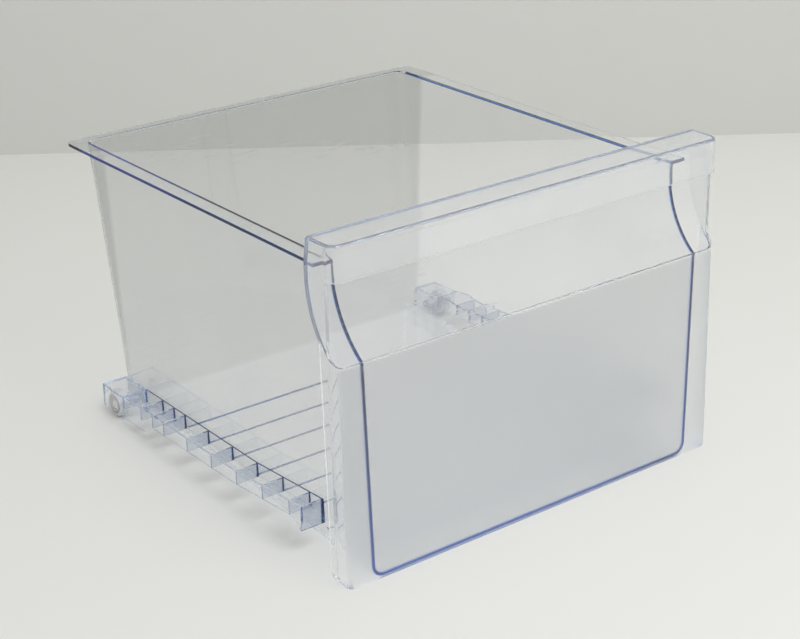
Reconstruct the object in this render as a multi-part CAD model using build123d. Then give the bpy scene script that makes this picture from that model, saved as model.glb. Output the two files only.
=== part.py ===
from build123d import *
import math
import os

# Clear refrigerator drawer: a drafted tub, a moulded front with a finger grip, and two ladder
# runners, each with a roller on a short axle.
# It is drawn with its rim level and the origin in the middle of the ledge's rear edge: X to the
# right seen from the front, Y to the back, Z up. Last, every piece is set down together on its
# rollers and on the foot of its front, with the origin under the middle of the whole drawer.

# Front, seen from before
front_width = 400.0
front_height = 283.5
sheet = 3.0
corner_radius = 10.0
foot_corner_radius = 10.0

# Front, seen from the side
ledge_depth = 31.3
foot_reach = 36.0
lip_height = 29.5
lip_edge_radius = 2.2
back_swell = 3.2
swell_drop = 20.0
scoop_start_drop = 30.0
knee_drop = 98.0
mouth_setback = 9.5
mouth_corner_radius = 9.0

# Returns behind the two upright edges of the front's lower half
return_depth_top = 19.7
return_depth_foot = 16.0
return_end_radius = 18.0

# Tub
rim_drop = 24.0
rim_inset = 22.3
rim_rear = 374.0
wall = 2.6
side_draft_front = 1.5
side_draft_rear = 2.6
rear_draft = 5.7
floor_lift = 0.4
floor_slope = 2.2
tub_inner_radius = 8.7
flange_width = 13.5
flange_rear_width = 9.0
flange_thickness = 2.8
flange_corner_radius = 9.0
rim_edge_radius = 1.6

# Ribs across the tub's floor
floor_rib_first = 9.0
floor_rib_pitch = 36.0
floor_rib_count = 8
floor_rib_width = 2.4
floor_rib_height = 1.3
floor_rib_end_gap = 3.0

# Ladder runners
rail_width = 26.0
rail_sheet = 2.2
rail_pad = 1.6
rail_seat_gap = 0.3
rail_rise = 38.5
rail_height = 12.2
rail_front = 28.5
rail_rear_gap = 7.4
ramp_length = 98.0
ramp_rise = 6.8
ramp_blend_radius = 150.0
hook_depth = 8.0
hook_run = 17.0
hook_bend_run = 0.35
hook_bend_rise = 0.7
rung_first = 46.6
rung_pitch = 38.6
rung_count = 7
rung_sheet = 1.8
extra_rung = 258.5

# Roller housing at the rear of each runner
housing_length = 35.5
housing_depth = 21.5
skirt_length = 37.0
skirt_slope_run = 15.0
bearing_wall = 3.0
arch_margin = 3.0
arch_corner_radius = 10.0

# Roller and axle
roller_radius = 11.8
roller_width = 10.0
roller_top_gap = 0.6
roller_set_in = 1.0
roller_edge_radius = 1.0
roller_web = 3.0
roller_rim = 2.4
hub_radius = 6.0
hub_recess_radius = 4.8
hub_recess_depth = 1.9
axle_radius = 2.5
axle_head_radius = 4.0
axle_head_thickness = 1.2
running_gap = 0.05
end_gap = 0.3
boss_radius = 5.2

# Worked out from the sizes above
half_width = front_width / 2
scoop_out = math.hypot(foot_reach - ledge_depth, front_height)
front_lean = (foot_reach - ledge_depth) / front_height
sheet_run = sheet * scoop_out / front_height
knee_rear_y = sheet_run - ledge_depth - front_lean * knee_drop
scoop_fall = knee_drop - scoop_start_drop
scoop_sweep = back_swell - knee_rear_y
scoop_radius = (scoop_fall ** 2 + scoop_sweep ** 2) / (2 * scoop_sweep)
scoop_centre = (back_swell - scoop_radius, -scoop_start_drop)
far = 2 * (rim_rear + front_height)
rim_half_width = half_width - rim_inset
rail_top_drop = front_height - rail_rise


def front_y(z):
    """Where the front's outer face lies at height z."""
    return -ledge_depth + front_lean * z


def face_from(points):
    """A flat side-view face through corner points (y, z)."""
    return make_face(Polyline(*points, close=True))


def side_solid(face, x_from, x_to):
    """A side-view face carried from x_from to x_to."""
    return extrude(Plane.YZ.offset(x_from) * face, x_to - x_from)


def front_solid(face, y_from, y_to):
    """A front-view face, drawn in x and z, carried from y_from to y_to."""
    return extrude(Plane.XZ.offset(-y_to) * face, y_to - y_from)


def arc_point(radius, y):
    """The point of an arc about the scoop's centre that lies at y, below the centre."""
    reach = y - scoop_centre[0]
    return (y, scoop_centre[1] - math.sqrt(radius ** 2 - reach ** 2))


def scoop_arc(radius, y_end):
    """The scoop's arc from where it leaves the upright back down to y_end."""
    start = (scoop_centre[0] + radius, scoop_centre[1])
    end = arc_point(radius, y_end)
    half_angle = math.asin((scoop_centre[1] - end[1]) / radius) / 2
    middle = (
        scoop_centre[0] + radius * math.cos(half_angle),
        scoop_centre[1] - radius * math.sin(half_angle),
    )
    return ThreePointArc(start, middle, end)


def back_line(y_end):
    """The rear face of the front, from the ledge down the scoop to y_end."""
    upright = Polyline((0, 0), (back_swell, -swell_drop), (back_swell, -scoop_start_drop))
    return upright + scoop_arc(scoop_radius, y_end)


settle_steps = 12
knee_rear = (knee_rear_y, -knee_drop)
inner_radius = scoop_radius - sheet
knee_front_z = -knee_drop
for step in range(settle_steps):
    knee_front_z = arc_point(inner_radius, front_y(knee_front_z))[1]
knee_front = (front_y(knee_front_z), knee_front_z)
foot_rear = (front_y(-front_height) + sheet_run, -front_height)


def return_rear(z):
    """Where the rear edges of the two returns lie at height z."""
    share = (-z - knee_drop) / (front_height - knee_drop)
    depth = return_depth_top + (return_depth_foot - return_depth_top) * share
    return front_y(z) + depth


return_top_z = -knee_drop
for step in range(settle_steps):
    return_top_z = arc_point(scoop_radius, return_rear(return_top_z))[1]
return_top = (return_rear(return_top_z), return_top_z)
return_foot = (return_rear(-front_height), -front_height)


def behind_front():
    """Everything behind the front's rear face, as one solid wider than the drawer."""
    below = (foot_rear[0] - front_lean * far / 2, -front_height - far / 2)
    outline = back_line(knee_rear_y) + Polyline(knee_rear, below, (far, below[1]), (far, 0), (0, 0))
    return side_solid(make_face(outline), -far / 2, far / 2)


def front_envelope():
    """The front as a full block: its outer faces, before its hollows."""
    outline = back_line(return_top[0]) + Polyline(
        return_top, return_foot, (front_y(-front_height), -front_height), (-ledge_depth, 0),
        (0, 0),
    )
    face = make_face(outline)
    foot_corner = face.vertices().sort_by_distance(Vector(*return_foot))[0]
    turn = math.atan2(return_top[1] - return_foot[1], return_foot[0] - return_top[0])
    largest = (return_depth_foot - sheet_run) * math.tan(turn / 2)
    face = fillet(foot_corner, min(return_end_radius, largest))
    block = side_solid(face, -half_width, half_width)
    uprights = block.edges().filter_by(
        lambda edge: edge.center().Y < front_y(0) / 2 - sheet
        and edge.length > 0.8 * front_height
        and abs(abs(edge.center().X) - half_width) < sheet / 2
    )
    block = fillet(uprights, corner_radius)
    outline = RectangleRounded(front_width, 2 * front_height, foot_corner_radius)
    return block & front_solid(outline, -far / 2, far / 2)


def between_returns():
    """All that lies inside the front's outer skin, with its two upright corners rounded."""
    inside = half_width - sheet
    below = -front_height - corner_radius
    outline = face_from([
        (front_y(0) + sheet_run, 0), (front_y(below) + sheet_run, below), (far, below), (far, 0),
    ])
    block = side_solid(outline, -inside, inside)
    uprights = block.edges().filter_by(
        lambda edge: edge.center().Y < 0 and abs(edge.center().X) > inside / 2
    )
    return fillet(uprights, corner_radius - sheet)


def grip_hollow():
    """The hollow behind the fascia, down to the scoop."""
    ledge_under = -sheet
    outline = Polyline(
        (back_swell - sheet, -scoop_start_drop), (back_swell - sheet, -swell_drop),
        (-sheet, ledge_under), (-2 * ledge_depth, ledge_under), (-2 * ledge_depth, knee_front_z),
        knee_front,
    )
    outline += scoop_arc(inner_radius, knee_front[0])
    return between_returns() & side_solid(make_face(outline), -half_width, half_width)


def grip_mouth():
    """The opening under the fascia, round at its two lower corners."""
    height = -knee_front_z - lip_height
    middle = -(lip_height + height / 2)
    opening = Pos(0, middle + front_height / 2) * RectangleRounded(
        front_width, height + front_height, mouth_corner_radius
    )
    opening &= Pos(0, middle) * Rectangle(2 * front_width, height)
    rear = front_y(-lip_height) + mouth_setback
    above = Polyline(
        (rear, -lip_height), (-far / 4, -lip_height), (-far / 4, knee_front_z), knee_front,
    )
    end = arc_point(inner_radius, rear)
    middle_y = (knee_front[0] + rear) / 2
    above += ThreePointArc(knee_front, arc_point(inner_radius, middle_y), end)
    above += Line(end, (rear, -lip_height))
    return front_solid(opening, -far / 4, far / 4) & side_solid(make_face(above), -far / 4, far / 4)


def face_hollow():
    """The open back of the front's lower half, between its two returns."""
    below = -front_height - corner_radius
    outline = Polyline(
        knee_rear, (-2 * foot_reach, -knee_drop), (-2 * foot_reach, below), (far / 4, below),
        (far / 4, return_top_z), return_top,
    )
    middle = arc_point(scoop_radius, (return_top[0] + knee_rear_y) / 2)
    outline += ThreePointArc(return_top, middle, knee_rear)
    inside = half_width - sheet
    hollow = between_returns() & side_solid(make_face(outline), -half_width, half_width)
    rounded = RectangleRounded(2 * inside, 2 * (front_height - sheet), foot_corner_radius - sheet)
    bottomless = Rectangle(2 * (half_width - foot_corner_radius), 4 * front_height)
    return hollow & front_solid(rounded + bottomless, -far / 2, far / 2)


def front_panel():
    """The clear moulded front: ledge, fascia, finger grip, lower face and its returns."""
    shell = front_envelope() - grip_hollow() - grip_mouth() - face_hollow()
    lip = shell.edges().filter_by(
        lambda edge: abs(edge.center().Z) < 0.01 and edge.center().Y < -sheet
    )
    return fillet(lip, lip_edge_radius)


def tub_half_width(y, z, skin=0.0):
    """Half the tub's width at y and height z, skin millimetres inside its outer side walls."""
    share = (y - foot_rear[0]) / (rim_rear - foot_rear[0])
    lean_front = math.tan(math.radians(side_draft_front))
    lean_rear = math.tan(math.radians(side_draft_rear))
    lean = lean_front + (lean_rear - lean_front) * share
    return rim_half_width + (rim_drop + z) * lean - skin


def floor_z(y, skin=0.0):
    """Height of the tub's underside at y, or of a layer skin millimetres above it."""
    slope = math.radians(floor_slope)
    start = -front_height + floor_lift
    return start + (y - foot_rear[0]) * math.tan(slope) + skin / math.cos(slope)


def tub_block(skin):
    """The tub as a sharp-edged full block, skin millimetres inside its outer faces."""
    high = 0.0
    low = -1.5 * front_height
    ahead = -2 * foot_reach
    behind = 1.5 * rim_rear
    ends = []
    for y in (ahead, behind):
        top = tub_half_width(y, high, skin)
        bottom = tub_half_width(y, low, skin)
        ends.append(Plane.XZ.offset(-y) * make_face(Polyline(
            (-top, high), (top, high), (bottom, low), (-bottom, low), close=True,
        )))
    lean = math.tan(math.radians(rear_draft))
    rear_top = rim_rear + (high + rim_drop) * lean - skin / math.cos(math.radians(rear_draft))
    slope = math.tan(math.radians(floor_slope))
    corner_y = (rear_top + (floor_z(0, skin) - high) * lean) / (1 - slope * lean)
    side_view = face_from([
        (ahead, high), (rear_top, high), (corner_y, floor_z(corner_y, skin)),
        (ahead, floor_z(ahead, skin)),
    ])
    return loft(ends, ruled=True) & side_solid(side_view, -far / 4, far / 4)


def tub_form(skin):
    """The same block with its lower and rear edges rounded."""
    block = tub_block(skin)
    underside = block.faces().sort_by(Axis.Z)[0]
    back = block.faces().sort_by(Axis.Y)[-1]
    edges = ShapeList(underside.edges() + back.edges()).filter_by(
        lambda edge: edge.center().Y > 1 - 2 * foot_reach and edge.center().Z < -1
    )
    corners = []
    for edge in edges:
        if not any((edge.center() - other.center()).length < 0.01 for other in corners):
            corners.append(edge)
    return fillet(corners, tub_inner_radius + wall - skin)


def flange():
    """The flat rim that stands out from the tub's sides and rear."""
    half = rim_half_width + flange_width
    length = rim_rear + flange_rear_width
    outline = RectangleRounded(2 * half, 2 * length, flange_corner_radius)
    return Pos(0, 0, -rim_drop - flange_thickness) * extrude(outline, flange_thickness)


def floor_rib(y):
    """One round-topped rib across the floor."""
    half = tub_half_width(y, floor_z(y), wall) - tub_inner_radius - floor_rib_end_gap
    top = floor_rib_height + wall
    section = Plane.YZ.offset(-half) * make_face(
        Polyline(
            (y - floor_rib_width / 2, floor_z(y, top - floor_rib_width / 2)),
            (y - floor_rib_width / 2, floor_z(y, wall / 2)),
            (y + floor_rib_width / 2, floor_z(y, wall / 2)),
            (y + floor_rib_width / 2, floor_z(y, top - floor_rib_width / 2)),
        )
        + ThreePointArc(
            (y + floor_rib_width / 2, floor_z(y, top - floor_rib_width / 2)),
            (y, floor_z(y, top)),
            (y - floor_rib_width / 2, floor_z(y, top - floor_rib_width / 2)),
        )
    )
    return extrude(section, 2 * half)


def tub(outer, inner):
    """The open tub, its brim rounded inside, its front end cut to the rear face of the front."""
    ceiling = Pos(0, 0, -rim_drop - far / 2) * Box(far, 2 * far, far)
    shell = (outer & ceiling) + flange() - inner
    brim = shell.edges().filter_by(
        lambda edge: abs(edge.center().Z + rim_drop) < 0.01
        and abs(edge.center().X) < rim_half_width - wall / 2
        and -foot_reach < edge.center().Y < rim_rear - wall / 2
    )
    shell = fillet(brim, rim_edge_radius)
    for index in range(floor_rib_count):
        shell += floor_rib(floor_rib_first + index * floor_rib_pitch)
    return shell & behind_front()


def rail_outline(low_rear):
    """Side view of a runner, with its rear end drawn down to low_rear."""
    top = -rail_top_drop
    bottom = top - rail_height
    ramp_end = rail_front + ramp_length
    slope = ramp_rise / ramp_length
    hook_start = rail_front + hook_run
    hook_top = bottom + (ramp_end - hook_start) * slope
    hook_foot = (rail_front + rail_sheet, hook_top - hook_depth)
    upper = FilletPolyline((rail_rear, top), (ramp_end, top), (rail_front, top + ramp_rise),
                           radius=ramp_blend_radius)
    front = Polyline((rail_front, top + ramp_rise), (rail_front, hook_foot[1]), hook_foot)
    inner = (
        hook_foot[0] + (hook_start - hook_foot[0]) * hook_bend_run,
        hook_foot[1] + (hook_top - hook_foot[1]) * hook_bend_rise,
    )
    hook = ThreePointArc(hook_foot, inner, (hook_start, hook_top))
    lower = FilletPolyline((hook_start, hook_top), (ramp_end, bottom), (rail_rear, bottom),
                           radius=ramp_blend_radius)
    rear = Line((rail_rear, bottom), (rail_rear, top))
    return make_face(upper + front + hook + lower + rear) + face_from([
        (rail_rear, bottom), (housing_front, bottom), (housing_front, low_rear),
        (rail_rear, low_rear),
    ])


def skirt():
    """The part of a runner's outer wall that comes down in front of the roller."""
    bottom = -rail_top_drop - rail_height
    low = -rail_top_drop - housing_depth
    front = housing_front - skirt_length
    return face_from([
        (housing_front, bottom + rail_sheet), (housing_front, low), (front, low),
        (front - skirt_slope_run, bottom), (front - skirt_slope_run, bottom + rail_sheet),
    ])


def across(y, thickness, x_from, x_to):
    """A crosswise slab at y, from x_from to x_to and as tall as the runner."""
    return Pos((x_from + x_to) / 2, y, -rail_top_drop) * Box(
        x_to - x_from, thickness, 4 * housing_depth
    )


rear_lean = math.tan(math.radians(rear_draft))
rail_rear = rim_rear - (rail_top_drop - rim_drop) * rear_lean - rail_rear_gap
housing_front = rail_rear - housing_length
rail_inner = tub_half_width(rail_rear, -rail_top_drop - housing_depth)
rail_plate = tub_half_width(housing_front, -rail_top_drop) + bearing_wall
rail_reach = tub_half_width(rail_rear, -rail_top_drop) + rail_width
roller_outer = rail_reach - roller_set_in
roller_inner = roller_outer - roller_width
axle_y = rail_rear - housing_length / 2
axle_z = -rail_top_drop - rail_sheet - roller_top_gap - roller_radius


def runner(seat, pad):
    """The right-hand runner: two long walls joined by rungs, with the roller's housing.

    Its inner wall lies against the tub's side, from seat, the tub as a block, out to pad."""
    low = -rail_top_drop - housing_depth
    middle = (rail_inner + rail_reach) / 2
    rail = side_solid(rail_outline(low), rail_inner, rail_reach)
    bearing = Pos(rail_plate, housing_front, 0) * Box(
        far, far, far, align=(Align.MAX, Align.MIN, Align.CENTER)
    )
    outer_wall = Pos(rail_reach - rail_sheet, 0, 0) * Box(
        far, 2 * far, far, align=(Align.MIN, Align.CENTER, Align.CENTER)
    )
    grid = pad + bearing + outer_wall
    grid += across(rail_front, 2 * rail_sheet, rail_inner, rail_reach)
    for index in range(rung_count):
        grid += across(rung_first + index * rung_pitch, rung_sheet, rail_inner, rail_reach)
    grid += across(extra_rung, rung_sheet, rail_inner, rail_reach)
    grid += across(housing_front, 2 * rung_sheet, rail_inner, rail_reach)
    grid += across(rail_rear, 2 * rail_sheet, rail_inner, rail_reach)
    roof = Pos(middle, rail_rear - housing_length / 2, -rail_top_drop)
    grid += roof * Box(rail_reach - rail_inner, housing_length, 2 * rail_sheet)
    body = rail & grid
    body += side_solid(skirt(), rail_reach - rail_sheet, rail_reach)
    arch_width = housing_length - rail_sheet - arch_margin
    arch = RectangleRounded(arch_width, 2 * (housing_depth - rail_sheet), arch_corner_radius)
    arch = Pos(axle_y, -rail_top_drop - housing_depth) * arch
    body -= side_solid(arch, rail_reach - 2 * rail_sheet, rail_reach + rail_sheet)
    boss = Plane.YZ.offset(rail_plate - rail_sheet / 2) * Pos(axle_y, axle_z) * Circle(boss_radius)
    body += extrude(boss, roller_inner - end_gap - rail_plate + rail_sheet / 2)
    bore = Plane.YZ.offset(rail_inner - wall) * Pos(axle_y, axle_z) * Circle(axle_radius)
    body -= extrude(bore, rail_reach - rail_inner)
    return body - seat


def turned(outline):
    """A half section, drawn with y along the axle and x away from it, turned about the axle."""
    axle_plane = Plane(origin=(0, axle_y, axle_z), x_dir=(0, 1, 0), z_dir=(0, 0, 1))
    section = axle_plane * make_face(Polyline(*outline, close=True))
    return revolve(section, Axis((0, axle_y, axle_z), (1, 0, 0)))


def axle():
    """The headed axle, pressed into the runner's inner wall, that holds the roller on."""
    root = rail_plate - rail_sheet + end_gap
    seat = roller_outer - hub_recess_depth + end_gap
    return turned([
        (0, -root), (axle_radius, -root), (axle_radius, -seat), (axle_head_radius, -seat),
        (axle_head_radius, -seat - axle_head_thickness), (0, -seat - axle_head_thickness),
    ])


def roller():
    """The roller: a rim and a hub joined by a web, with a recess for the axle's head."""
    bore = axle_radius + running_gap
    web_in = roller_inner + (roller_width - roller_web) / 2
    web_out = web_in + roller_web
    tread = roller_radius - roller_rim
    soft = roller_edge_radius
    return turned([
        (bore, -roller_inner), (hub_radius, -roller_inner), (hub_radius, -web_in),
        (tread, -web_in), (tread, -roller_inner), (roller_radius - soft, -roller_inner),
        (roller_radius, -roller_inner - soft), (roller_radius, -roller_outer + soft),
        (roller_radius - soft, -roller_outer), (tread, -roller_outer), (tread, -web_out),
        (hub_radius, -web_out), (hub_radius, -roller_outer), (hub_recess_radius, -roller_outer),
        (hub_recess_radius, -roller_outer + hub_recess_depth),
        (bore, -roller_outer + hub_recess_depth),
    ])


def set_down(pieces):
    """Tip the drawer back until its rollers touch what its foot stands on, and centre it."""
    reach = axle_y - foot_rear[0]
    rise = axle_z - foot_rear[1]
    tilt = math.atan2(rise, reach) - math.asin(roller_radius / math.hypot(reach, rise))
    tipped = {}
    for name, piece in pieces.items():
        tipped[name] = Rot(X=-math.degrees(tilt)) * piece
    boxes = [piece.bounding_box() for piece in tipped.values()]
    middle_y = (min(box.min.Y for box in boxes) + max(box.max.Y for box in boxes)) / 2
    lowest = min(box.min.Z for box in boxes)
    print("tilt", math.degrees(tilt), "move", -middle_y, -lowest)
    return {name: Pos(0, -middle_y, -lowest) * piece for name, piece in tipped.items()}


tub_outer = tub_form(0.0)
right_runner = runner(tub_block(-rail_seat_gap), tub_block(-rail_pad))
right_roller = roller()
right_axle = axle()
drawer = {
    "tub": tub(tub_outer, tub_form(wall)),
    "front_panel": front_panel(),
    "right_runner": right_runner,
    "left_runner": mirror(right_runner, about=Plane.YZ),
    "right_roller": right_roller,
    "left_roller": mirror(right_roller, about=Plane.YZ),
    "right_axle": right_axle,
    "left_axle": mirror(right_axle, about=Plane.YZ),
}

os.makedirs("parts", exist_ok=True)
for node, solid in set_down(drawer).items():
    export_step(solid, f"parts/{node}.step")
    print(node, round(solid.volume), solid.bounding_box())
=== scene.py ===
import bpy
import math
from types import SimpleNamespace
from mathutils import Matrix, Vector

# Clear refrigerator drawer, seen from the front left and from above, on a pale table.
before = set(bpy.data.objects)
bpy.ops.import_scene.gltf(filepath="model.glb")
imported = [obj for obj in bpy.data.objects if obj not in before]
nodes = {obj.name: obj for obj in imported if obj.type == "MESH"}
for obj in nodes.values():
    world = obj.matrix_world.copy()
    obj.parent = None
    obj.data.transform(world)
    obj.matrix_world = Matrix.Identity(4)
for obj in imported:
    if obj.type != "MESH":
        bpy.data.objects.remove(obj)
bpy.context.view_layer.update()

# Camera
# It stands where the photograph was taken from: about 1.7 metres away, left of the drawer's
# front, looking down at it.
camera_place = Vector((-0.91937, -1.20663, 0.79798))
camera_azimuth = math.radians(37.861)
camera_pitch = math.radians(24.761)
camera_roll = math.radians(-0.379)
camera_data = bpy.data.cameras.new("camera")
camera_data.sensor_width = 36.0
camera_data.sensor_fit = "HORIZONTAL"
camera_data.lens = 84.48
camera_data.clip_start = 0.05
camera_data.clip_end = 50.0
camera = bpy.data.objects.new("camera", camera_data)
bpy.context.scene.collection.objects.link(camera)
ahead = Vector((
    math.sin(camera_azimuth) * math.cos(camera_pitch),
    math.cos(camera_azimuth) * math.cos(camera_pitch),
    -math.sin(camera_pitch),
))
level = Vector((math.cos(camera_azimuth), -math.sin(camera_azimuth), 0.0))
downward = ahead.cross(level)
right = level * math.cos(camera_roll) + downward * math.sin(camera_roll)
upward = right.cross(ahead)
turn = Matrix((right, upward, -ahead)).transposed()
camera.matrix_world = Matrix.Translation(camera_place) @ turn.to_4x4()
bpy.context.scene.camera = camera
bpy.context.scene.view_settings.view_transform = "Standard"

# Table and backdrop
# A smooth pale table top that ends at the foot of a slightly darker hanging backdrop. The
# backdrop shows from its front side only, so that it never stands before the drawer's rear.
table_colour = (0.79, 0.79, 0.76, 1.0)
table_roughness = 0.5
table_reach = 12.0
backdrop_colour = (0.65, 0.655, 0.625, 1.0)
backdrop_roughness = 0.9
backdrop_foot_left = Vector((0.0433, 0.8473, 0.0))
backdrop_foot_right = Vector((0.9111, 0.3045, 0.0))
backdrop_height = 3.0
matt_specular = 0.2


def matt_finish(name, colour, roughness):
    """A plain matt finish for what the drawer stands on and in front of."""
    material = bpy.data.materials.new(name)
    material.use_nodes = True
    shader = material.node_tree.nodes["Principled BSDF"]
    shader.inputs["Base Color"].default_value = colour
    shader.inputs["Roughness"].default_value = roughness
    shader.inputs["Specular IOR Level"].default_value = matt_specular
    return material


def value_of(tree, operation, *inputs):
    """A Math node with the given inputs, numbers or sockets; gives its output socket."""
    node = tree.nodes.new("ShaderNodeMath")
    node.operation = operation
    for index, item in enumerate(inputs):
        if isinstance(item, (int, float)):
            node.inputs[index].default_value = item
        else:
            tree.links.new(item, node.inputs[index])
    return node.outputs[0]


def show_front_side_only(material):
    """Leave the rear side of a sheet with this finish unseen."""
    tree = material.node_tree
    side = tree.nodes.new("ShaderNodeNewGeometry")
    front_side = value_of(tree, "SUBTRACT", 1.0, side.outputs["Backfacing"])
    tree.links.new(front_side, tree.nodes["Principled BSDF"].inputs["Alpha"])


def flat_sheet(name, corners, material):
    """One four-cornered sheet through the given corners."""
    mesh = bpy.data.meshes.new(name)
    mesh.from_pydata([tuple(corner) for corner in corners], [], [(0, 1, 2, 3)])
    sheet = bpy.data.objects.new(name, mesh)
    bpy.context.scene.collection.objects.link(sheet)
    mesh.materials.append(material)


foot_run = (backdrop_foot_right - backdrop_foot_left).normalized()
to_front = Vector((foot_run.y, -foot_run.x, 0.0)) * table_reach
to_top = Vector((0.0, 0.0, backdrop_height))
foot_start = backdrop_foot_left - foot_run * table_reach
foot_end = backdrop_foot_right + foot_run * table_reach
table_top = matt_finish("table_top", table_colour, table_roughness)
flat_sheet("table", (foot_start, foot_start + to_front, foot_end + to_front, foot_end), table_top)
backdrop_cloth = matt_finish("backdrop_cloth", backdrop_colour, backdrop_roughness)
show_front_side_only(backdrop_cloth)
flat_sheet("backdrop", (foot_start, foot_end, foot_end + to_top, foot_start + to_top),
           backdrop_cloth)

# Light
# Even room light, a soft window light from the front and a small ceiling lamp on the right, which
# draws the ladders' shadows. Clear sheets lie many deep, so light is followed through more of them.
room_colour = (1.0, 1.0, 1.0, 1.0)
room_strength = 0.6
window_place = Vector((0.15, -1.4, 2.1))
window_target = Vector((0.05, -0.2, 0.1))
window_size = 1.2
window_power = 31.0
ceiling_place = Vector((1.2, 0.5, 2.0))
ceiling_target = Vector((0.0, 0.0, 0.1))
ceiling_size = 0.25
ceiling_power = 16.0
sheets_deep = 64
seen_through = 48

room = bpy.data.worlds.new("room")
bpy.context.scene.world = room
room.use_nodes = True
room.node_tree.nodes["Background"].inputs["Color"].default_value = room_colour
room.node_tree.nodes["Background"].inputs["Strength"].default_value = room_strength


def soft_lamp(name, place, target, size, power):
    """A square soft lamp at place that faces target."""
    lamp_data = bpy.data.lights.new(name, "AREA")
    lamp_data.shape = "SQUARE"
    lamp_data.size = size
    lamp_data.energy = power
    lamp = bpy.data.objects.new(name, lamp_data)
    bpy.context.scene.collection.objects.link(lamp)
    lamp.location = place
    lamp.rotation_mode = "QUATERNION"
    lamp.rotation_quaternion = (target - place).to_track_quat("-Z", "Y")


soft_lamp("window_light", window_place, window_target, window_size, window_power)
soft_lamp("ceiling_lamp", ceiling_place, ceiling_target, ceiling_size, ceiling_power)
light_paths = bpy.context.scene.cycles
light_paths.max_bounces = sheets_deep
light_paths.transmission_bounces = sheets_deep
light_paths.glossy_bounces = sheets_deep
light_paths.transparent_max_bounces = seen_through
light_paths.caustics_refractive = False
light_paths.caustics_reflective = False

# Tub
# The bin itself, injection moulded in one piece of clear styrene. The sheet hardly tints what lies
# behind it. The blue where light runs along inside it and comes out at the brim and the ends is
# painted navy on those faces, and the rear wall is painted greyer as shade.
drawn_tilt = math.radians(1.9251083021476385)
drawn_move = (0.0, -0.16823712711531596, 0.2822390396840378)
clear_colour = (0.99, 0.99, 0.99, 1.0)
hazed_colour = (0.96, 0.965, 0.97, 1.0)
# Painted shade: the rear wall is painted greyer than the rest of the clear sheet.
rear_wall_painted_shade = (0.79, 0.795, 0.79, 1.0)
# Painted edge glow: navy is painted on the brim's outer edges and on the wall ends at the front,
# standing in for light that runs inside the sheet and comes out blue.
brim_painted_glow = (0.01, 0.05, 0.36, 1.0)
end_painted_glow = (0.003, 0.08, 0.75, 1.0)
plastic_tint = (0.3, 0.5, 0.86, 1.0)
plastic_ior = 1.5
swell_strength = 0.12
swell_height = 0.0004
tub_tint_density = 8.5
tub_light_let_through = 0.98
tub_haze_scale = 9.0
tub_roughness = 0.012
tub_haze = 0.03
brim_edge = (0.1906, 0.1909)
side_facing = (0.3, 0.7)
end_facing = (-0.2, -0.5)
end_reach = (0.012, 0.009)
grip_edge = (-0.097, -0.099)
rear_wall_reach = (0.335, 0.345)
front_lean = 0.016578
face_back = -0.0283
scoop_radius = 0.08636
scoop_centre_y = -0.08316
scoop_centre_z = -0.03
seam_width = 0.0016


def ramp(tree, value, start, full):
    """A mask that rises smoothly from 0 at start to 1 at full, which may be the smaller one."""
    node = tree.nodes.new("ShaderNodeMapRange")
    node.interpolation_type = "SMOOTHSTEP"
    node.inputs["From Min"].default_value = min(start, full)
    node.inputs["From Max"].default_value = max(start, full)
    node.inputs["To Min"].default_value = 0.0 if start < full else 1.0
    node.inputs["To Max"].default_value = 1.0 if start < full else 0.0
    tree.links.new(value, node.inputs["Value"])
    return node.outputs["Result"]


def mixed(tree, mask, bare, masked):
    """The colour bare where the mask is 0 and masked where it is 1, each a colour or a socket."""
    node = tree.nodes.new("ShaderNodeMix")
    node.data_type = "RGBA"
    tree.links.new(mask, node.inputs["Factor"])
    for label, colour in (("A", bare), ("B", masked)):
        if isinstance(colour, tuple):
            node.inputs[label].default_value = colour
        else:
            tree.links.new(colour, node.inputs[label])
    return node.outputs["Result"]


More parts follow.
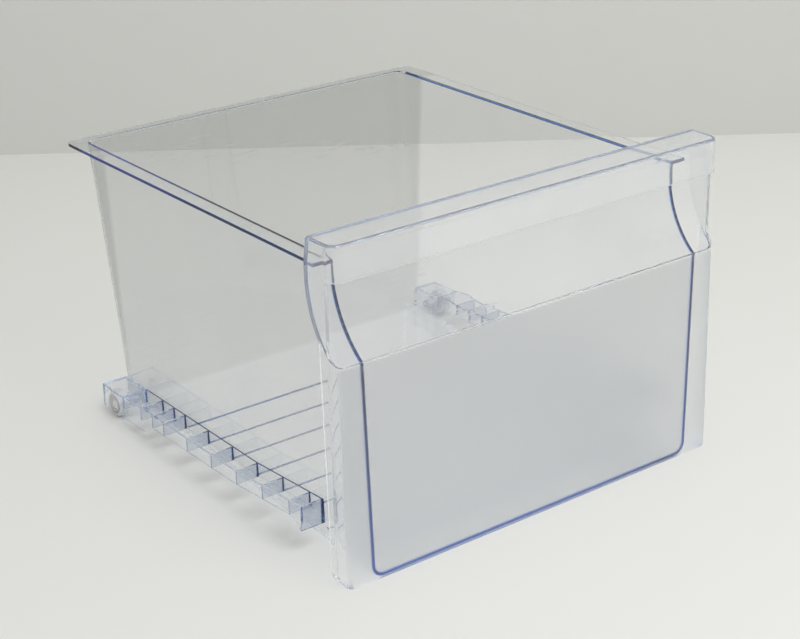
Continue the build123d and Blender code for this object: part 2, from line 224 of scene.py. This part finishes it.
def make_handling_wear():
    """The haze and hairline scratches that polished plastic gets from hands and washing."""
    inputs = (("Haze Scale", 12.0), ("Base Roughness", 0.02), ("Haze Amount", 0.03),
              ("Scratch Amount", 0.15))
    haze_from_cloud = (0.42, 0.72)
    scratch_from_hair = (0.68, 0.74)
    scratch_turn = (0.35, 0.25, 0.6)
    scratch_stretch = (38.0, 760.0, 690.0)
    scratch_depth = -0.4
    swell_scale = 26.0
    tree = bpy.data.node_groups.new("handling_wear", "ShaderNodeTree")
    tree.interface.new_socket("Vector", in_out="INPUT", socket_type="NodeSocketVector")
    for label, value in inputs:
        socket = tree.interface.new_socket(label, in_out="INPUT", socket_type="NodeSocketFloat")
        socket.default_value = value
    for label in ("Roughness", "Haze", "Height"):
        tree.interface.new_socket(label, in_out="OUTPUT", socket_type="NodeSocketFloat")
    given = tree.nodes.new("NodeGroupInput").outputs
    result = tree.nodes.new("NodeGroupOutput").inputs
    cloud = tree.nodes.new("ShaderNodeTexNoise")
    cloud.inputs["Detail"].default_value = 4.0
    tree.links.new(given["Vector"], cloud.inputs["Vector"])
    tree.links.new(given["Haze Scale"], cloud.inputs["Scale"])
    haze = ramp(tree, cloud.outputs["Fac"], *haze_from_cloud)
    stretch = tree.nodes.new("ShaderNodeMapping")
    stretch.inputs["Rotation"].default_value = scratch_turn
    stretch.inputs["Scale"].default_value = scratch_stretch
    tree.links.new(given["Vector"], stretch.inputs["Vector"])
    hair = tree.nodes.new("ShaderNodeTexNoise")
    hair.inputs["Scale"].default_value = 1.0
    hair.inputs["Detail"].default_value = 1.0
    tree.links.new(stretch.outputs["Vector"], hair.inputs["Vector"])
    scratch = ramp(tree, hair.outputs["Fac"], *scratch_from_hair)
    swell = tree.nodes.new("ShaderNodeTexNoise")
    swell.inputs["Scale"].default_value = swell_scale
    tree.links.new(given["Vector"], swell.inputs["Vector"])
    hazed = value_of(tree, "MULTIPLY_ADD", haze, given["Haze Amount"], given["Base Roughness"])
    worn = value_of(tree, "MULTIPLY_ADD", scratch, given["Scratch Amount"], hazed)
    height = value_of(tree, "MULTIPLY_ADD", scratch, scratch_depth, swell.outputs["Fac"])
    tree.links.new(worn, result["Roughness"])
    tree.links.new(haze, result["Haze"])
    tree.links.new(height, result["Height"])
    return tree


handling_wear = make_handling_wear()


def worn_plastic(name, clear, hazed, tint_density):
    """Moulded plastic, worn by handling, that tints light by how far it has run inside it.
    Gives the material, its tree, shader and wear node, and the socket of its sheet colour."""
    material = bpy.data.materials.new(name)
    material.use_nodes = True
    tree = material.node_tree
    shader = tree.nodes["Principled BSDF"]
    shader.inputs["Transmission Weight"].default_value = 1.0
    shader.inputs["IOR"].default_value = plastic_ior
    coordinates = tree.nodes.new("ShaderNodeTexCoord")
    wear = tree.nodes.new("ShaderNodeGroup")
    wear.node_tree = handling_wear
    tree.links.new(coordinates.outputs["Object"], wear.inputs["Vector"])
    tree.links.new(wear.outputs["Roughness"], shader.inputs["Roughness"])
    bump = tree.nodes.new("ShaderNodeBump")
    bump.inputs["Strength"].default_value = swell_strength
    bump.inputs["Distance"].default_value = swell_height
    tree.links.new(wear.outputs["Height"], bump.inputs["Height"])
    tree.links.new(bump.outputs["Normal"], shader.inputs["Normal"])
    sheet = mixed(tree, wear.outputs["Haze"], clear, hazed)
    tree.links.new(sheet, shader.inputs["Base Color"])
    tint = tree.nodes.new("ShaderNodeVolumeAbsorption")
    tint.inputs["Color"].default_value = plastic_tint
    tint.inputs["Density"].default_value = tint_density
    tree.links.new(tint.outputs["Volume"], tree.nodes["Material Output"].inputs["Volume"])
    return SimpleNamespace(material=material, tree=tree, shader=shader, wear=wear, sheet=sheet)


def let_light_through(plastic, share):
    """Let a share of the light pass that would make the plastic's shadow black."""
    path = plastic.tree.nodes.new("ShaderNodeLightPath")
    shading = value_of(plastic.tree, "MAXIMUM", path.outputs["Is Shadow Ray"],
                       path.outputs["Is Diffuse Ray"])
    passed = value_of(plastic.tree, "MULTIPLY", shading, share)
    kept = value_of(plastic.tree, "SUBTRACT", 1.0, passed)
    plastic.tree.links.new(kept, plastic.shader.inputs["Alpha"])


def drawn_place(tree):
    """The place on the drawer as it was drawn, with its rim level, and the way a face looks."""
    coordinates = tree.nodes.new("ShaderNodeTexCoord")
    drawn = tree.nodes.new("ShaderNodeMapping")
    drawn.vector_type = "TEXTURE"
    drawn.inputs["Location"].default_value = drawn_move
    drawn.inputs["Rotation"].default_value = (-drawn_tilt, 0.0, 0.0)
    tree.links.new(coordinates.outputs["Object"], drawn.inputs["Vector"])
    place = tree.nodes.new("ShaderNodeSeparateXYZ")
    tree.links.new(drawn.outputs["Vector"], place.inputs["Vector"])
    facing = tree.nodes.new("ShaderNodeSeparateXYZ")
    tree.links.new(coordinates.outputs["Normal"], facing.inputs["Vector"])
    return place.outputs, facing.outputs


def dress(node_name, material):
    """Put a material on a CAD node's own slots."""
    node = nodes[node_name]
    if not node.material_slots:
        node.data.materials.append(material)
    for slot in node.material_slots:
        slot.material = material


tub = worn_plastic("tub_clear_styrene", clear_colour, hazed_colour, tub_tint_density)
let_light_through(tub, tub_light_let_through)
tub.wear.inputs["Haze Scale"].default_value = tub_haze_scale
tub.wear.inputs["Base Roughness"].default_value = tub_roughness
tub.wear.inputs["Haze Amount"].default_value = tub_haze
tub_place, tub_facing = drawn_place(tub.tree)

# The upright ends of the tub's walls, and the curved and straight bands where they meet the front,
# which are painted navy as edge glow
end_faces = value_of(
    tub.tree, "MULTIPLY",
    ramp(tub.tree, tub_facing["Y"], *end_facing), ramp(tub.tree, tub_place["Y"], *end_reach))
below_grip = ramp(tub.tree, tub_place["Z"], *grip_edge)
above_grip = value_of(tub.tree, "SUBTRACT", 1.0, below_grip)
unleaned_y = value_of(tub.tree, "MULTIPLY_ADD", tub_place["Z"], -front_lean, tub_place["Y"])
straight_band = value_of(
    tub.tree, "MULTIPLY", below_grip,
    ramp(tub.tree, unleaned_y, face_back + seam_width, face_back + seam_width / 2))
scoop_y = value_of(tub.tree, "SUBTRACT", tub_place["Y"], scoop_centre_y)
scoop_z = value_of(tub.tree, "SUBTRACT", tub_place["Z"], scoop_centre_z)
scoop_z = value_of(tub.tree, "MINIMUM", scoop_z, 0.0)
squares = value_of(tub.tree, "ADD", value_of(tub.tree, "POWER", scoop_y, 2.0),
                   value_of(tub.tree, "POWER", scoop_z, 2.0))
from_scoop_centre = value_of(tub.tree, "SQRT", squares)
curved_band = value_of(
    tub.tree, "MULTIPLY", above_grip,
    ramp(tub.tree, from_scoop_centre, scoop_radius + seam_width, scoop_radius + seam_width / 2))
bands = value_of(tub.tree, "MAXIMUM", curved_band, straight_band)
painted_glow_ends_mask = value_of(tub.tree, "MAXIMUM", end_faces, bands)

# The brim's outer edges on both sides, painted navy as edge glow, and the rear wall, painted greyer
# as shade
brim_across = value_of(tub.tree, "ABSOLUTE", tub_place["X"])
brim_facing = value_of(tub.tree, "ABSOLUTE", tub_facing["X"])
painted_glow_brim_mask = value_of(
    tub.tree, "MULTIPLY",
    ramp(tub.tree, brim_across, *brim_edge), ramp(tub.tree, brim_facing, *side_facing))
rear_wall_shade_mask = ramp(tub.tree, tub_place["Y"], *rear_wall_reach)
# The handling haze, with the painted shade on the rear wall.
tub_haze_and_painted_shade = mixed(tub.tree, rear_wall_shade_mask, tub.sheet, rear_wall_painted_shade)
# Painted edge glow: the brim edges and the wall ends get their painted navy here.
tub_painted_glow = mixed(tub.tree, painted_glow_ends_mask, brim_painted_glow, end_painted_glow)
painted_glow_mask = value_of(tub.tree, "MAXIMUM", painted_glow_brim_mask, painted_glow_ends_mask)
tub.tree.links.new(mixed(tub.tree, painted_glow_mask, tub_haze_and_painted_shade, tub_painted_glow),
                   tub.shader.inputs["Base Color"])
dress("tub", tub.material)

# Front panel
# The moulded front: ledge, fascia, finger grip and lower face in one piece of clear styrene.
# Its lower face is etched to a fine frost, from the edge under the grip to the foot.
front_tint_density = 10.0
front_light_let_through = 0.98
front_clearness = 0.95
frost_colour = (1.0, 1.0, 1.0, 1.0)
frost_reach_down = (-0.0985, -0.1)
frost_reach_out = (0.1965, 0.1945)
frost_facing = (-0.6, -0.9)
frost_grain_scale = 420.0
frost_grain_detail = 3.0
frost_grain = 0.12
frost_roughness = 0.34
front = worn_plastic("front_clear_styrene", clear_colour, hazed_colour, front_tint_density)
front.shader.inputs["Transmission Weight"].default_value = front_clearness
let_light_through(front, front_light_let_through)
front_place, front_facing = drawn_place(front.tree)
front_across = value_of(front.tree, "ABSOLUTE", front_place["X"])
frosted = value_of(
    front.tree, "MULTIPLY",
    ramp(front.tree, front_across, *frost_reach_out),
    ramp(front.tree, front_place["Z"], *frost_reach_down))
frosted = value_of(front.tree, "MULTIPLY", frosted,
                   ramp(front.tree, front_facing["Y"], *frost_facing))
grain = front.tree.nodes.new("ShaderNodeTexNoise")
grain.inputs["Scale"].default_value = frost_grain_scale
grain.inputs["Detail"].default_value = frost_grain_detail
grain_place = front.tree.nodes.new("ShaderNodeTexCoord")
front.tree.links.new(grain_place.outputs["Object"], grain.inputs["Vector"])
frost_depth = value_of(front.tree, "MULTIPLY_ADD", grain.outputs["Fac"], frost_grain,
                       frost_roughness)
front_roughness = value_of(front.tree, "MULTIPLY_ADD", frosted, frost_depth,
                           front.wear.outputs["Roughness"])
front.tree.links.new(front_roughness, front.shader.inputs["Roughness"])
front.tree.links.new(mixed(front.tree, frosted, front.sheet, frost_colour),
                     front.shader.inputs["Base Color"])
dress("front_panel", front.material)

# Runners
# One ladder-like moulding low on each long side: two walls joined by rungs, with a housing for the
# roller at the rear. Their rung faces keep the dull finish of the mould and carry a painted bluish
# shade. Navy is painted on the inner wall's top, the undersides and the rung roots as edge glow.
runner_tint_density = 18.0
runner_haze_scale = 30.0
# Painted shade: the rung faces are painted a darker bluish grey than the clear walls.
rung_painted_shade = (0.74, 0.78, 0.86, 1.0)
# Painted edge glow: navy is painted on the inner wall's top, the undersides and the rung roots,
# standing in for light that comes out blue at the sheet's edges.
runner_painted_glow = (0.012, 0.035, 0.17, 1.0)
rung_roughness = 0.14
rung_facing = (0.8, 0.95)
level_facing = (0.7, 0.9)
underside_facing = (-0.7, -0.9)
inner_wall_lean = 0.0106
inner_wall_reach = (0.1748, 0.174)
housing_front = (0.3085, 0.3075)
wall_light_let_through = 0.95
rung_light_held_back = 0.4
runner = worn_plastic("runner_clear_styrene", clear_colour, hazed_colour, runner_tint_density)
runner.wear.inputs["Haze Scale"].default_value = runner_haze_scale
runner_place, runner_facing = drawn_place(runner.tree)
before_housing = ramp(runner.tree, runner_place["Y"], *housing_front)
rung_faces = ramp(runner.tree, value_of(runner.tree, "ABSOLUTE", runner_facing["Y"]), *rung_facing)
level_faces = ramp(runner.tree, value_of(runner.tree, "ABSOLUTE", runner_facing["Z"]),
                   *level_facing)
underside = ramp(runner.tree, runner_facing["Z"], *underside_facing)
runner_across = value_of(runner.tree, "ABSOLUTE", runner_place["X"])
runner_across = value_of(runner.tree, "MULTIPLY_ADD", runner_place["Y"], inner_wall_lean,
                         runner_across)
inner_wall = ramp(runner.tree, runner_across, *inner_wall_reach)
wall_top = value_of(runner.tree, "MULTIPLY", level_faces, inner_wall)
rung_roots = value_of(runner.tree, "MULTIPLY", rung_faces, inner_wall)
# Mask of the painted navy edge glow, ahead of the roller housing.
painted_glow_edges = value_of(runner.tree, "MAXIMUM", wall_top, underside)
painted_glow_edges = value_of(runner.tree, "MAXIMUM", painted_glow_edges, rung_roots)
painted_glow_edges = value_of(runner.tree, "MULTIPLY", painted_glow_edges, before_housing)
# Mask of the painted bluish rung shade, ahead of the roller housing.
painted_shade_rungs = value_of(runner.tree, "MULTIPLY", rung_faces, before_housing)
runner_haze_and_painted_shade = mixed(runner.tree, painted_shade_rungs, runner.sheet, rung_painted_shade)
runner.tree.links.new(mixed(runner.tree, painted_glow_edges, runner_haze_and_painted_shade, runner_painted_glow),
                      runner.shader.inputs["Base Color"])
runner_roughness = value_of(runner.tree, "MULTIPLY_ADD", rung_faces, rung_roughness,
                            runner.wear.outputs["Roughness"])
runner.tree.links.new(runner_roughness, runner.shader.inputs["Roughness"])
shadow_makers = value_of(runner.tree, "MAXIMUM", rung_faces, level_faces)
shadow_makers = value_of(runner.tree, "MULTIPLY", shadow_makers, before_housing)
let_light_through(runner, value_of(runner.tree, "MULTIPLY_ADD", shadow_makers,
                                   -rung_light_held_back, wall_light_let_through))
dress("left_runner", runner.material)
dress("right_runner", runner.material)

# Rollers
# One small wheel of natural translucent acetal in each runner's rear housing, turned out of the
# mould with a rim, a thin web and a hub, and scuffed round its tread.
acetal_tint_density = 14.0
roller_colour = (0.95, 0.955, 0.955, 1.0)
roller_hazed_colour = (0.9, 0.905, 0.9, 1.0)
roller_clearness = 0.45
roller_light_let_through = 0.5
roller_haze_scale = 90.0
roller_roughness = 0.28
roller_haze = 0.12
roller = worn_plastic("roller_natural_acetal", roller_colour, roller_hazed_colour,
                      acetal_tint_density)
roller.shader.inputs["Transmission Weight"].default_value = roller_clearness
let_light_through(roller, roller_light_let_through)
roller.wear.inputs["Haze Scale"].default_value = roller_haze_scale
roller.wear.inputs["Base Roughness"].default_value = roller_roughness
roller.wear.inputs["Haze Amount"].default_value = roller_haze
dress("left_roller", roller.material)
dress("right_roller", roller.material)

# Axles
# A short headed pin of the same natural acetal for each roller, pressed into the runner's inner
# wall. The roller turns on it, and its head keeps the roller from coming off.
axle_colour = (0.93, 0.935, 0.93, 1.0)
axle_hazed_colour = (0.88, 0.885, 0.88, 1.0)
axle_clearness = 0.3
axle_light_let_through = 0.6
axle_haze_scale = 120.0
axle_roughness = 0.3
axle = worn_plastic("axle_natural_acetal", axle_colour, axle_hazed_colour, acetal_tint_density)
axle.shader.inputs["Transmission Weight"].default_value = axle_clearness
let_light_through(axle, axle_light_let_through)
axle.wear.inputs["Haze Scale"].default_value = axle_haze_scale
axle.wear.inputs["Base Roughness"].default_value = axle_roughness
dress("left_axle", axle.material)
dress("right_axle", axle.material)
